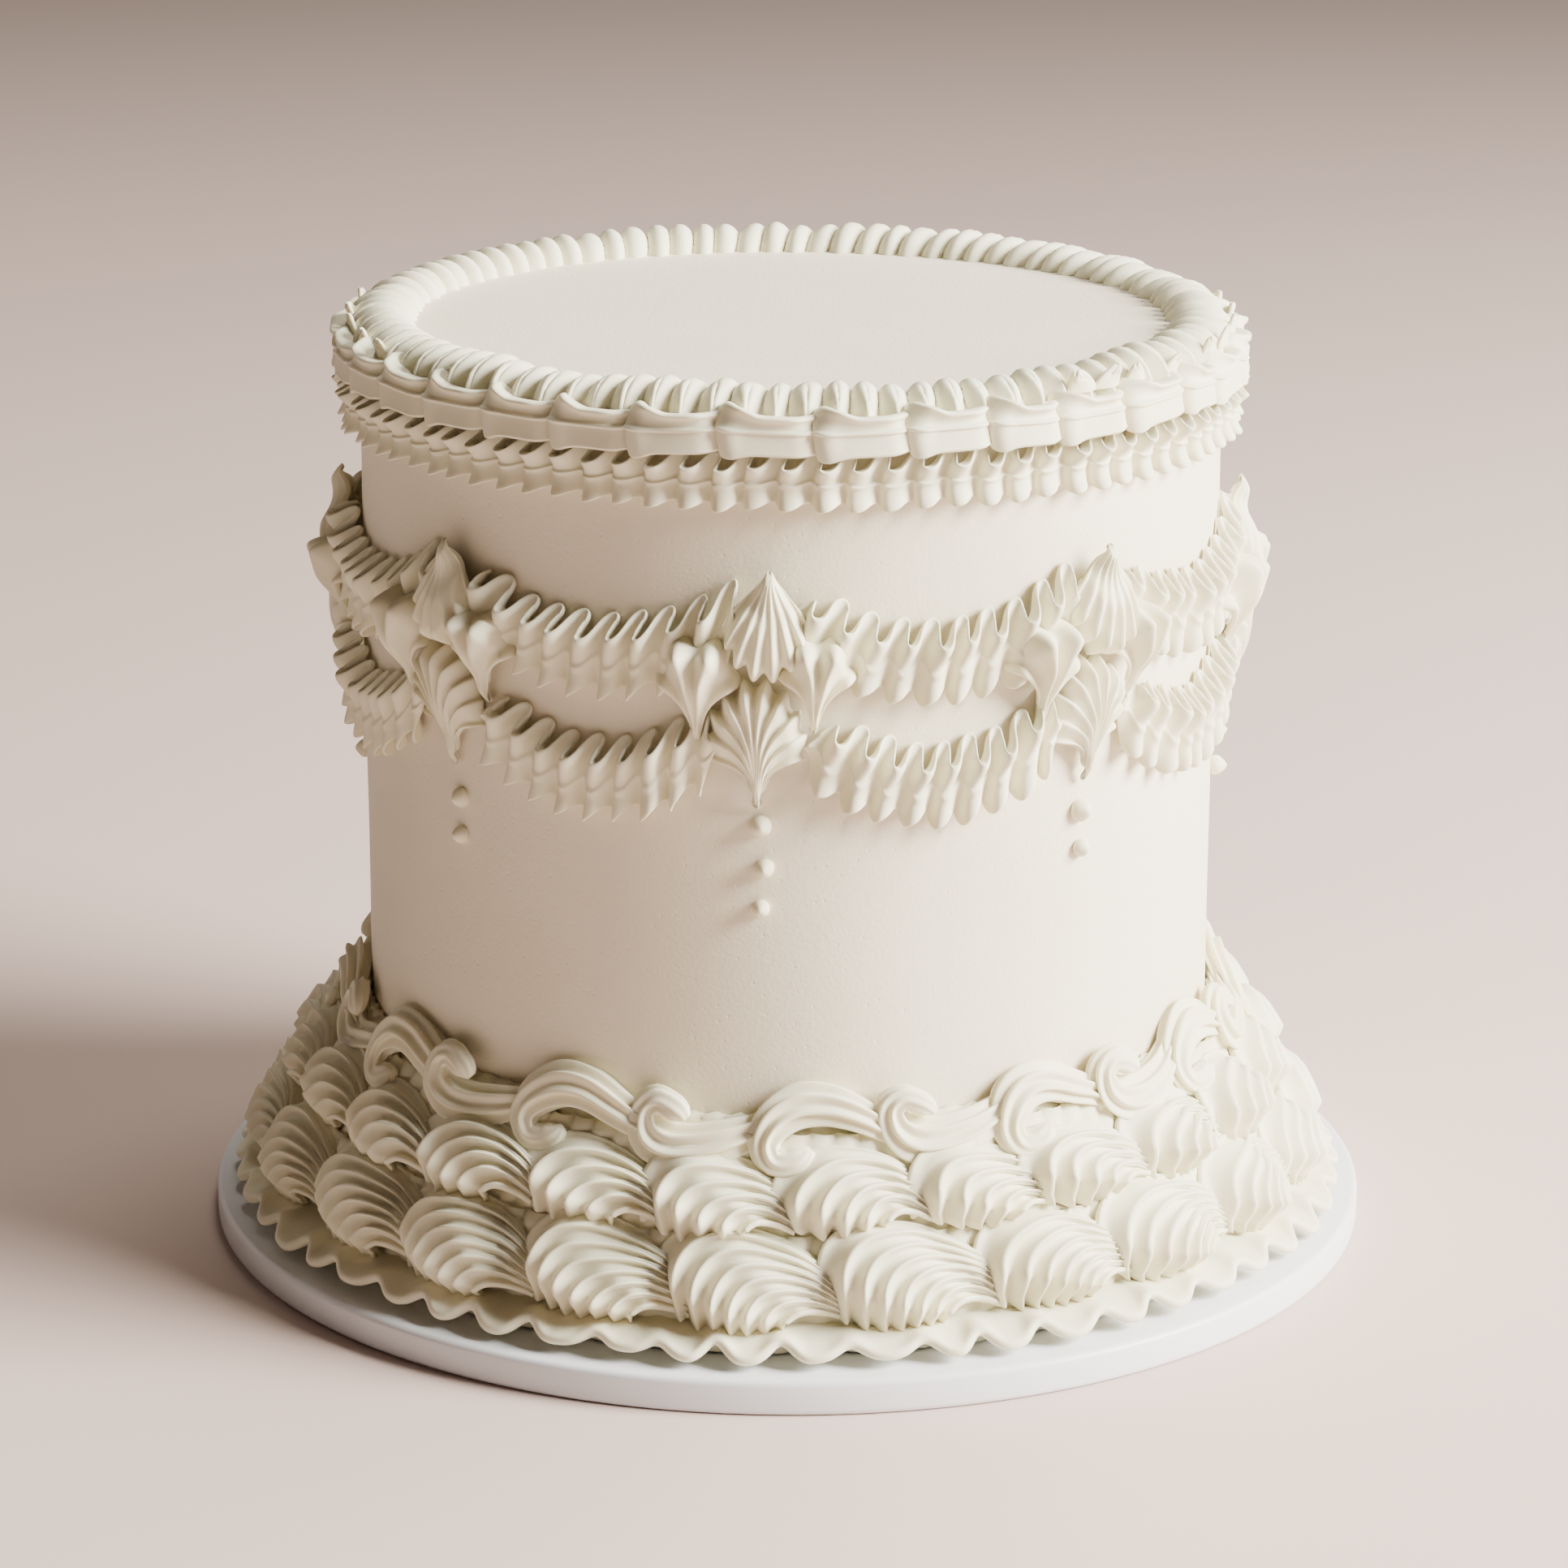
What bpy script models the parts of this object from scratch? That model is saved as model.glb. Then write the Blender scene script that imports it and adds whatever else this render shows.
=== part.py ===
"""Two-tier-swag Lambeth cake on its round board, in metres, +Z up.

The origin is the middle of the board's underside. Angles run round the cake from
the front (-Y) towards +X. Heights are measured from the board's underside.
"""
import math

import bpy
import bmesh
from mathutils import Matrix, Vector

# Driving dimensions
CAKE_RADIUS = 0.0740
CAKE_TOP = 0.1593
CAKE_EDGE_ROUND = 0.0030
BOARD_RADIUS = 0.1020
BOARD_THICKNESS = 0.0060
BOARD_EDGE_BEVEL = 0.0006
GAP = 0.0003                # clear space between pieces that lie on each other
ROUND_STEPS = 48            # facets round the board and the cake

EDGE_STEPS = 3              # facets round the cake's top edge

WALL = CAKE_RADIUS + GAP    # inner radius of whatever is piped on the side
FLOOR = BOARD_THICKNESS + GAP

# Ornaments: groups of four fans, set out by eye and so not quite evenly
ORNAMENT_COUNT = 8
ORNAMENT_FIRST = math.radians(-3.4)
ORNAMENT_DRIFT = math.radians(2.2)
ORNAMENT_HEIGHT = 0.1159    # height of the point where the four fans meet

# Outline (run, rise) of an ornament from its middle, with room round its fans
ORNAMENT_OUTLINE = (
    (0.0006, 0.0216), (0.0068, 0.0106), (0.0110, 0.0112), (0.0162, 0.0062), (0.0120, -0.0076),
    (0.0094, -0.0112), (-0.0004, -0.0242), (-0.0094, -0.0112), (-0.0130, -0.0080),
    (-0.0164, 0.0062), (-0.0116, 0.0112), (-0.0070, 0.0106))

ORNAMENT_ROOM_DEPTHS = (-0.0040, 0.0140)    # from the side of the cake, inwards and outwards

# Fans of an ornament: root and tip (run, rise) from its middle, width, depth, ribs, and the
# share of the length at which the fan is widest
FAN_UPPER = ((0.0, -0.0014), (0.0006, 0.0205), 0.0126, 0.0074, 3, 0.42)
FAN_LOWER = ((0.0, 0.0006), (-0.0006, -0.0230), 0.0166, 0.0080, 3, 0.50)
FAN_LEFT = ((-0.0096, 0.0092), (-0.0100, -0.0085), 0.0116, 0.0068, 2, 0.30)
FAN_RIGHT = ((0.0102, 0.0092), (0.0090, -0.0080), 0.0100, 0.0066, 2, 0.30)
FAN_ROOT_SHAPE = (0.52, 0.55)       # share of the full width, share of the full depth
FAN_WAIST_SHAPE = (0.64, 0.92)
FAN_TIP_SHAPE = (0.05, 0.88)
FAN_GROOVE = 0.74                   # height of a groove as a share of the ribs beside it
FAN_FALL = 0.55                     # share of the depth that is lost towards both sides

# Pearls under the ornaments
PEARL_RADIUS = 0.0018
PEARL_SEGMENTS, PEARL_RINGS = 6, 3
PEARL_PEAK = 0.3            # how far the peak stands out, as a share of the radius
PEARL_SET_BACK = math.radians(0.4)
PEARL_SWAY, PEARL_DRIFT = 0.004, 0.0004     # radians round the cake, metres in height
PEARL_HEIGHTS_FRONT = (0.0907, 0.0836, 0.0768)
PEARL_HEIGHTS_OTHER = (0.0885, 0.0820)

# Swags: two tiers of ruffle that hang between the ornaments
SWAG_LOOPS = 7
SWAG_HALF_WIDTH = 0.0068
SWAG_DEPTH = 0.0062
SWAG_UPPER_END, SWAG_UPPER_MID = 0.1288, 0.1186
SWAG_LOWER_END, SWAG_LOWER_MID = 0.1088, 0.0989
SWAG_UPPER_START = math.radians(2.5)    # from the ornament's middle to the ruffle's end
SWAG_LOWER_START = math.radians(11.2)
SWAG_VALLEY_WIDTH, SWAG_VALLEY_DEPTH = 0.78, 0.5    # shares of a loop's width and depth
SWAG_LOWER_EDGE = 0.8       # depth of the lower edge as a share of the upper edge's
SWAG_SLANT = 0.00072        # how far a loop's upper edge lies to the right of its middle
SWAG_BACK = 0.85            # width of the back as a share of the front's
SWAG_UNEVEN = 0.0003

# Crown round the top edge
ROPE_RIBS = 48
ROPE_INNER, ROPE_CREST, ROPE_OUTER = 0.0636, 0.0706, 0.0742
ROPE_TOP = 0.1650
ROPE_SLACK = 0.0004         # the crests lie this far under the rope's top on average
ROPE_RIB_SWELL, ROPE_RIB_DIP = 0.0012, 0.0028
ROPE_SHOULDER = 0.6         # share of the height at which the inner face bends outwards
ROPE_SHOULDER_LEAN, ROPE_CREST_LEAN = 0.15, 0.45    # shares of one rib's length
BAND_SEGMENTS = 34
BAND_OUTER = 0.0789
BAND_BOTTOM, BAND_VEIN, BAND_LIP = 0.1519, 0.1560, 0.1604
BAND_ROPE_GAP = 0.0006
BAND_TUCK = (0.0002, 0.0008, 0.0026)    # set-back at the head, the middle and the tail
BAND_ARCH = (0.0, 0.0011, 0.0003)       # lift of the lower edge at the same three places
BAND_CUP = (0.0006, 0.0013, 0.0018)     # drop of the lip there
BAND_VEIN_TUCK, BAND_HEM_TUCK = 0.0010, 0.0002
BAND_UNEVEN = 0.0002
FRILL_WAVES = 44
FRILL_TIP, FRILL_VEIN, FRILL_TOP = 0.1429, 0.1471, 0.1508
FRILL_DEPTH = 0.0034
FRILL_LEAN = 0.25           # share of one wave by which the outer edge lies to the left
FRILL_VALLEY, FRILL_VALLEY_TIP = 0.35, 0.62     # shares of a crest's depth and of its length
FRILL_DROOP, FRILL_TIP_DEPTH = 0.0012, 0.85
FRILL_BACK_DROP, FRILL_BACK_LIFT = 0.0010, 0.0006
FRILL_UNEVEN = 0.0002

# Border round the foot
SCROLL_PAIRS = 12
SCROLL_FIRST = math.radians(-50.1)
SCROLL_TUBE = 0.0024
SCROLL_STANDOFF = 0.0029    # from the wall's clearance to the middle of the tube
SCROLL_CENTRE_UP, SCROLL_CENTRE_DOWN = 0.0426, 0.0422
SCROLL_LEAN = 0.5           # how far the row leans out for each metre further down
SCROLL_LEAN_TOP = 0.0444    # height above which the row leans in and not out
SCROLL_CENTRE_RUN = 0.0052
SCROLL_CURL_START, SCROLL_CURL_STEP = math.radians(60.0), math.radians(70.0)
SCROLL_CURL_POINTS = 4
SCROLL_CURL_RADIUS, SCROLL_CURL_GROWTH = 0.0018, 0.0008
SCROLL_TAIL = ((0.0112, -0.0034), (0.0222, 0.0004))     # (run, rise) from the curl's middle
SCROLL_THICKNESS = (0.55, 0.66, 0.77, 0.90, 1.12, 1.0)  # at each point, from the curl out
SCROLL_UNEVEN = 0.006
MIDDLE_SHELLS = 24
MIDDLE_CENTRE = (0.0816, 0.0300)
MIDDLE_SWELL = 0.0048
MIDDLE_FIRST = math.radians(-0.5)
MIDDLE_BACK = (0.0388, 0.0245)      # top and bottom where the row meets the cake
MIDDLE_RIBS = 5
LOWER_SHELLS = 22
LOWER_CENTRE = (0.0892, 0.0180)
LOWER_SWELL = 0.0072
LOWER_FIRST = math.radians(4.8)
LOWER_BACK = (0.0225, FLOOR)
LOWER_RIBS = 7
SHELL_SIZES = (0.62, 1.06, 0.94, 0.50)      # swell from a shell's head to its tail
SHELL_PLACES = (0.0, 0.16, 0.50, 0.92)      # where along the shell they lie
SHELL_DROOP = 0.25
SHELL_FROM, SHELL_TO = math.radians(-112.0), math.radians(100.0)    # the ribbed arc
SHELL_GROOVE = 0.86
SHELL_UNEVEN_SIZE, SHELL_UNEVEN_PLACE = 0.05, 0.012
RUFFLE_WAVES = 48
RUFFLE_INNER, RUFFLE_OUTER = 0.0900, 0.0985
RUFFLE_SWING = 0.0015
RUFFLE_THICKNESS, RUFFLE_LIFT = 0.0034, 0.0022
RUFFLE_RIM_TUCK, RUFFLE_RIM_LIFT = 0.0006, 0.4
RUFFLE_UNEVEN = 0.0003

ICING = (0.90, 0.87, 0.79)
BOARD_WHITE = (0.86, 0.87, 0.89)


def clear_scene():
    for old in list(bpy.data.objects):
        bpy.data.objects.remove(old, do_unlink=True)


def collection(name):
    made = bpy.data.collections.new(name)
    bpy.context.scene.collection.children.link(made)
    return made


def material(name, colour, roughness):
    made = bpy.data.materials.new(name)
    made.use_nodes = True
    shader = made.node_tree.nodes["Principled BSDF"]
    shader.inputs["Base Color"].default_value = (*colour, 1.0)
    shader.inputs["Roughness"].default_value = roughness
    shader.inputs["Metallic"].default_value = 0.0
    return made


def icing(name, shade=1.0):
    return material(name, tuple(shade * channel for channel in ICING), 0.55)


def on_ring(angle, radius, height):
    return Vector((radius * math.sin(angle), -radius * math.cos(angle), height))


def add_object(name, mesh, group, finish=None):
    made = bpy.data.objects.new(name, mesh)
    group.objects.link(made)
    if finish:
        mesh.materials.clear()
        mesh.materials.append(finish)
    return made


def smooth(mesh, degrees=40.0):
    mesh.shade_smooth()
    mesh.set_sharp_from_angle(angle=math.radians(degrees))


def loft(name, sections, closed):
    """Skin a run of equal-sized closed sections; an open run gets end caps."""
    bm = bmesh.new()
    rings = [[bm.verts.new(point) for point in section] for section in sections]
    size = len(sections[0])
    pairs = list(zip(rings, rings[1:]))
    if closed:
        pairs.append((rings[-1], rings[0]))
    else:
        bm.faces.new(rings[0])
        bm.faces.new(rings[-1][::-1])
    for near, far in pairs:
        for i in range(size):
            j = (i + 1) % size
            bm.faces.new((near[i], far[i], far[j], near[j]))
    bmesh.ops.recalc_face_normals(bm, faces=bm.faces)
    mesh = bpy.data.meshes.new(name)
    bm.to_mesh(mesh)
    bm.free()
    smooth(mesh)
    return mesh


def ring_loft(name, stations, section):
    """A ring whose section (radius, height, angle shift) follows its station number."""
    rings = []
    for i in range(stations):
        angle = math.tau * i / stations
        rings.append([on_ring(angle + shift, radius, height)
                      for radius, height, shift in section(i)])
    return loft(name, rings, closed=True)


def turned(name, profile, steps):
    """A profile (radius, height) from the top down, turned round the Z axis."""
    mesh = bpy.data.meshes.new(name)
    points = [(radius, 0.0, height) for radius, height in profile]
    mesh.from_pydata(points, [(i, i + 1) for i in range(len(points) - 1)], [])
    made = bpy.data.objects.new(name, mesh)
    screw = made.modifiers.new("Turn", "SCREW")
    screw.angle = math.tau
    screw.steps = screw.render_steps = steps
    screw.use_merge_vertices = True
    screw.merge_threshold = 0.00005
    return made


def evaluated_mesh(name, made):
    """The object's mesh with its modifiers or bevel worked out and its seams closed."""
    bpy.context.view_layer.update()
    graph = bpy.context.evaluated_depsgraph_get()
    mesh = bpy.data.meshes.new_from_object(made.evaluated_get(graph))
    mesh.name = name
    bm = bmesh.new()
    bm.from_mesh(mesh)
    bmesh.ops.remove_doubles(bm, verts=bm.verts, dist=0.00002)
    bmesh.ops.recalc_face_normals(bm, faces=bm.faces)
    bm.to_mesh(mesh)
    bm.free()
    return mesh


def fuse(core, pieces, group):
    """Join the pieces and their core into one closed body."""
    for piece in pieces:
        group.objects.link(piece)
    union = core.modifiers.new("Fuse", "BOOLEAN")
    union.operation = "UNION"
    union.operand_type = "COLLECTION"
    union.collection = group
    union.solver = "MANIFOLD"
    mesh = evaluated_mesh(core.name, core)
    core.modifiers.clear()
    core.data = mesh
    for piece in pieces:
        bpy.data.objects.remove(piece, do_unlink=True)
    bpy.data.collections.remove(group)
    return mesh


def ornament_angle(index):
    even = math.tau * index / ORNAMENT_COUNT
    return ORNAMENT_FIRST + even - ORNAMENT_DRIFT * math.sin(even)


def uneven(seed, amount):
    """A small repeatable variation between -amount and +amount, as in hand piping."""
    return amount * math.sin(12.9898 * seed + 4.1414)


def make_board(parts):
    bpy.ops.mesh.primitive_cylinder_add(
        vertices=ROUND_STEPS, radius=BOARD_RADIUS, depth=BOARD_THICKNESS,
        location=(0.0, 0.0, BOARD_THICKNESS / 2))
    board = bpy.context.object
    board.name = "cake_board"
    board.data.name = "cake_board"
    for owner in list(board.users_collection):
        owner.objects.unlink(board)
    parts.objects.link(board)
    edge = board.modifiers.new("Edge", "BEVEL")
    edge.width = BOARD_EDGE_BEVEL
    edge.segments = 1
    edge.limit_method = "ANGLE"
    board.data.materials.append(material("board_white", BOARD_WHITE, 0.45))


def pearl(name, angle, height):
    """A squashed bead with its small drawn-out peak, pressed into the side."""
    bm = bmesh.new()
    bmesh.ops.create_uvsphere(bm, u_segments=PEARL_SEGMENTS, v_segments=PEARL_RINGS,
                              radius=PEARL_RADIUS)
    peak = max(bm.verts, key=lambda vert: vert.co.z)
    peak.co.z += PEARL_PEAK * PEARL_RADIUS
    face_out = Matrix.Rotation(math.pi / 2, 4, "X")
    place = (Matrix.Translation(on_ring(angle, CAKE_RADIUS, height))
             @ Matrix.Rotation(angle, 4, "Z") @ face_out)
    bm.transform(place)
    mesh = bpy.data.meshes.new(name)
    bm.to_mesh(mesh)
    bm.free()
    return bpy.data.objects.new(name, mesh)


def make_body(parts):
    edge = CAKE_EDGE_ROUND
    profile = [(0.0, CAKE_TOP)]
    for step in range(EDGE_STEPS + 1):
        turn = math.pi / 2 * (1.0 - step / EDGE_STEPS)
        profile.append((CAKE_RADIUS - edge + edge * math.cos(turn),
                        CAKE_TOP - edge + edge * math.sin(turn)))
    profile += [(CAKE_RADIUS, FLOOR), (0.0, FLOOR)]
    rough = turned("cake_body", profile, ROUND_STEPS)
    bpy.context.scene.collection.objects.link(rough)
    body = add_object("cake_body", evaluated_mesh("cake_body", rough), parts)
    bpy.data.objects.remove(rough, do_unlink=True)
    body.name = "cake_body"

    pearls = []
    for k in range(ORNAMENT_COUNT):
        heights = PEARL_HEIGHTS_FRONT if k == 0 else PEARL_HEIGHTS_OTHER
        for n, height in enumerate(heights):
            angle = ornament_angle(k) - PEARL_SET_BACK + uneven(k + n, PEARL_SWAY)
            pearls.append(pearl("pearl", angle, height + uneven(3 * k + n, PEARL_DRIFT)))
    mesh = fuse(body, pearls, collection("pearls"))
    mesh.materials.clear()
    mesh.materials.append(icing("body_icing"))
    smooth(mesh)


def make_inner_rope(parts):
    """The leaned ribs that stand on the top edge and ring the flat top."""
    base = CAKE_TOP + GAP
    lean = math.tau / ROPE_RIBS

    def section(i):
        rib = i % 2 == 0
        swell = ROPE_RIB_SWELL if rib else 0.0
        drop = uneven(i, ROPE_SLACK) if rib else ROPE_RIB_DIP
        top = ROPE_TOP - ROPE_SLACK - drop
        return [(ROPE_INNER - swell / 2, base, 0.0),
                (ROPE_INNER + ROPE_RIB_SWELL - swell, base + ROPE_SHOULDER * (top - base),
                 ROPE_SHOULDER_LEAN * lean),
                (ROPE_CREST, top, ROPE_CREST_LEAN * lean),
                (ROPE_OUTER, base, 0.0)]

    mesh = ring_loft("crown_inner_rope", 2 * ROPE_RIBS, section)
    add_object("crown_inner_rope", mesh, parts, icing("crown_inner_icing", 1.02))


def make_band(parts):
    """The broad overlapping band: each length swells at its left and tucks in at its right."""
    inner = ROPE_OUTER + BAND_ROPE_GAP
    stations = len(BAND_TUCK)

    def section(i):
        place = i % stations
        hem = BAND_BOTTOM + BAND_ARCH[place]
        lip = BAND_LIP - BAND_CUP[place]
        outer = BAND_OUTER - BAND_TUCK[place] + uneven(i // stations, BAND_UNEVEN)
        return [(inner, hem, 0.0),
                (inner, lip, 0.0),
                (outer, lip, 0.0),
                (outer - BAND_VEIN_TUCK, BAND_VEIN, 0.0),
                (outer - BAND_HEM_TUCK, hem, 0.0)]

    mesh = ring_loft("crown_band", stations * BAND_SEGMENTS, section)
    add_object("crown_band", mesh, parts, icing("crown_band_icing", 1.01))


def make_under_ruffle(parts):
    """The narrow leaf ruffle under the band: curls above its vein, tongues below."""
    lean = FRILL_LEAN * math.tau / FRILL_WAVES

    def section(i):
        crest = i % 2 == 0
        wave = 1.0 if crest else FRILL_VALLEY
        tip = FRILL_VEIN - (FRILL_VEIN - FRILL_TIP) * (1.0 if crest else FRILL_VALLEY_TIP)
        return [(WALL, FRILL_TOP - FRILL_BACK_DROP, 0.0),
                (WALL + FRILL_DEPTH * wave, FRILL_TOP - (1.0 - wave) * FRILL_DROOP, -lean),
                (WALL + FRILL_TIP_DEPTH * FRILL_DEPTH * wave, tip + uneven(i, FRILL_UNEVEN), -lean),
                (WALL, tip + FRILL_BACK_LIFT, 0.0)]

    mesh = ring_loft("crown_under_ruffle", 2 * FRILL_WAVES, section)
    add_object("crown_under_ruffle", mesh, parts, icing("frill_icing"))


def swag_mesh(name, start, end, end_height, mid_height, seed):
    """A ruffle that sags between two ornaments and follows the round side."""
    stations = 2 * SWAG_LOOPS
    middle, half = (start + end) / 2, (end - start) / 2
    sections = []
    for i in range(stations + 1):
        across = 2.0 * i / stations - 1.0
        angle = middle + across * half
        height = mid_height + (end_height - mid_height) * across ** 2
        slope = 2.0 * (end_height - mid_height) * across / (half * CAKE_RADIUS)
        lean = math.atan(slope)
        crest = i % 2 == 1
        width = SWAG_HALF_WIDTH * (1.0 if crest else SWAG_VALLEY_WIDTH)
        width += uneven(seed + i, SWAG_UNEVEN)
        depth = SWAG_DEPTH * (1.0 if crest else SWAG_VALLEY_DEPTH)
        section = []
        for side, out, shift in ((1.0, depth, SWAG_SLANT),
                                 (-1.0, SWAG_LOWER_EDGE * depth, -SWAG_SLANT),
                                 (-SWAG_BACK, 0.0, 0.0), (SWAG_BACK, 0.0, 0.0)):
            run = -side * width * math.sin(lean) + shift
            rise = side * width * math.cos(lean)
            section.append(on_ring(angle + run / CAKE_RADIUS, WALL + out, height + rise))
        sections.append(section)
    return loft(name, sections, closed=False)


def ornament_clearance(cutters):
    """The room that each ornament keeps for itself where a swag runs in under it."""
    sections = []
    for depth in ORNAMENT_ROOM_DEPTHS:
        sections.append([on_ring(run / CAKE_RADIUS, CAKE_RADIUS + depth, ORNAMENT_HEIGHT + rise)
                         for run, rise in ORNAMENT_OUTLINE])
    mesh = loft("ornament_room", sections, closed=False)
    rooms = []
    for k in range(ORNAMENT_COUNT):
        room = add_object(f"ornament_room_{k}", mesh, cutters)
        room.rotation_euler.z = ornament_angle(k)
        room.hide_render = True
        room.display_type = "WIRE"
        rooms.append(room)
    return rooms


def make_swags(parts, rooms):
    finish = icing("swag_icing")
    tiers = (("swag_upper", SWAG_UPPER_END, SWAG_UPPER_MID, SWAG_UPPER_START),
             ("swag_lower", SWAG_LOWER_END, SWAG_LOWER_MID, SWAG_LOWER_START))
    for tier, end_height, mid_height, offset in tiers:
        for k in range(ORNAMENT_COUNT):
            name = f"{tier}_{k}"
            start = ornament_angle(k) + offset
            end = ornament_angle(k + 1) - offset
            mesh = swag_mesh(name, start, end, end_height, mid_height, 7 * k)
            made = add_object(name, mesh, parts, finish)
            if tier == "swag_lower":
                continue
            for room in (rooms[k], rooms[(k + 1) % ORNAMENT_COUNT]):
                cut = made.modifiers.new("Ornament room", "BOOLEAN")
                cut.operation = "DIFFERENCE"
                cut.object = room
                cut.solver = "MANIFOLD"


def fan(name, root, tip, width, depth, ribs, widest):
    """A pulled star-tip fan: lobed where it starts, and drawn out to a standing tip.

    root and tip are (run, rise) from the ornament's middle. The ribs run the whole
    length and spread most at the share of the length called widest.
    """
    stations = ((0.0, *FAN_ROOT_SHAPE), (widest, 1.0, 1.0),
                ((1.0 + widest) / 2, *FAN_WAIST_SHAPE), (1.0, *FAN_TIP_SHAPE))
    length = math.dist(root, tip)
    back = WALL / math.cos(width / 2 / CAKE_RADIUS)     # the flat back clears the round side
    along = ((tip[0] - root[0]) / length, (tip[1] - root[1]) / length)
    beside = (along[1], -along[0])
    points = 2 * ribs - 1
    sections = []
    for reach, spread, swell in stations:
        row = []
        for i in range(points):
            side = 2.0 * i / (points - 1) - 1.0
            ridge = 1.0 if i % 2 == 0 else FAN_GROOVE
            out = depth * swell * (1.0 - FAN_FALL * side ** 2) * ridge
            row.append((side * spread * width / 2, out))
        row += [(spread * width / 2, 0.0), (-spread * width / 2, 0.0)]
        section = []
        for sideways, out in row:
            run = root[0] + along[0] * reach * length + beside[0] * sideways
            rise = root[1] + along[1] * reach * length + beside[1] * sideways
            section.append(on_ring(run / CAKE_RADIUS, back + out, ORNAMENT_HEIGHT + rise))
        sections.append(section)
    return bpy.data.objects.new(name, loft(name, sections, closed=False))


def make_ornaments(parts):
    upper = fan("fans", *FAN_UPPER)
    bpy.context.scene.collection.objects.link(upper)
    others = [fan("lower", *FAN_LOWER), fan("side_left", *FAN_LEFT),
              fan("side_right", *FAN_RIGHT)]
    mesh = fuse(upper, others, collection("fans"))
    smooth(mesh, 30.0)
    finish = icing("ornament_icing", 1.02)
    for k in range(ORNAMENT_COUNT):
        made = add_object(f"ornament_{k}", mesh, parts, finish)
        made.rotation_euler.z = ornament_angle(k)
    bpy.data.objects.remove(upper, do_unlink=True)


def scroll_route(upward):
    """Points (run, rise) of one scroll: a tight curl at its left and a tail to its right."""
    centre = SCROLL_CENTRE_UP if upward else SCROLL_CENTRE_DOWN
    turn = 1.0 if upward else -1.0
    points = []
    for step in range(SCROLL_CURL_POINTS):
        angle = SCROLL_CURL_START + SCROLL_CURL_STEP * step
        radius = SCROLL_CURL_RADIUS + SCROLL_CURL_GROWTH * step
        points.append((SCROLL_CENTRE_RUN + radius * math.cos(angle),
                       centre + turn * radius * math.sin(angle)))
    points += [(run, centre + turn * rise) for run, rise in SCROLL_TAIL]
    return points


def scroll(name, start, upward):
    """A tapering tube that follows the scroll's route over the sloping bed."""
    curve = bpy.data.curves.new(name, "CURVE")
    curve.dimensions = "3D"
    curve.bevel_depth = SCROLL_TUBE
    curve.bevel_resolution = 0
    curve.use_fill_caps = True
    route = scroll_route(upward)
    spline = curve.splines.new("POLY")
    spline.points.add(len(route) - 1)
    for n, (run, rise) in enumerate(route):
        radius = WALL + SCROLL_STANDOFF + SCROLL_LEAN * (SCROLL_LEAN_TOP - rise)
        spline.points[n].co = (*on_ring(start + run / CAKE_RADIUS, radius, rise), 1.0)
        spline.points[n].radius = SCROLL_THICKNESS[n]
    rough = bpy.data.objects.new(name, curve)
    bpy.context.scene.collection.objects.link(rough)
    mesh = evaluated_mesh(name, rough)
    bpy.data.objects.remove(rough, do_unlink=True)
    return bpy.data.objects.new(name, mesh)


def make_scroll_row(parts):
    """A closed chain of scrolls that curl up and down by turns, tail under next head."""
    pieces = []
    pitch = math.pi / SCROLL_PAIRS
    for k in range(2 * SCROLL_PAIRS):
        start = SCROLL_FIRST + k * pitch + uneven(k, SCROLL_UNEVEN)
        pieces.append(scroll("scroll", start, upward=k % 2 == 0))
    row = pieces.pop()
    row.name = "scroll_row"
    parts.objects.link(row)
    mesh = fuse(row, pieces, collection("scrolls"))
    mesh.materials.append(icing("scroll_icing", 1.01))
    smooth(mesh, 30.0)


def shell_row(name, count, first, centre, swell, back, rib_points):
    """A ring of piped shells: each has a full head at its left and a tail at its right.

    The ribs are the corners of the section. They spread over the head and draw
    together along the tail, which the next head covers.
    """
    top, bottom = back

    def shell_section(k, share, place):
        size = swell * share * (1.0 + uneven(k, SHELL_UNEVEN_SIZE))
        drop = SHELL_DROOP * swell * (1.0 - share)
        start = first + math.tau * (k + place) / count + uneven(5 * k, SHELL_UNEVEN_PLACE)
        row = [(WALL, top), (WALL, bottom)]
        for i in range(rib_points):
            turn = SHELL_FROM + (SHELL_TO - SHELL_FROM) * i / (rib_points - 1)
            ridge = 1.0 if i % 2 == 0 else SHELL_GROOVE
            row.append((centre[0] + size * ridge * math.cos(turn),
                        centre[1] - drop + size * ridge * math.sin(turn)))
        return [on_ring(start, radius, height) for radius, height in row]

    sections = [shell_section(k, share, place) for k in range(count)
                for share, place in zip(SHELL_SIZES, SHELL_PLACES)]
    return loft(name, sections, closed=True)


def make_shell_rows(parts):
    middle = shell_row("shell_row_middle", MIDDLE_SHELLS, MIDDLE_FIRST, MIDDLE_CENTRE,
                       MIDDLE_SWELL, MIDDLE_BACK, MIDDLE_RIBS)
    add_object("shell_row_middle", middle, parts, icing("middle_shell_icing"))
    lower = shell_row("shell_row_lower", LOWER_SHELLS, LOWER_FIRST, LOWER_CENTRE,
                      LOWER_SWELL, LOWER_BACK, LOWER_RIBS)
    add_object("shell_row_lower", lower, parts, icing("lower_shell_icing"))


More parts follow.
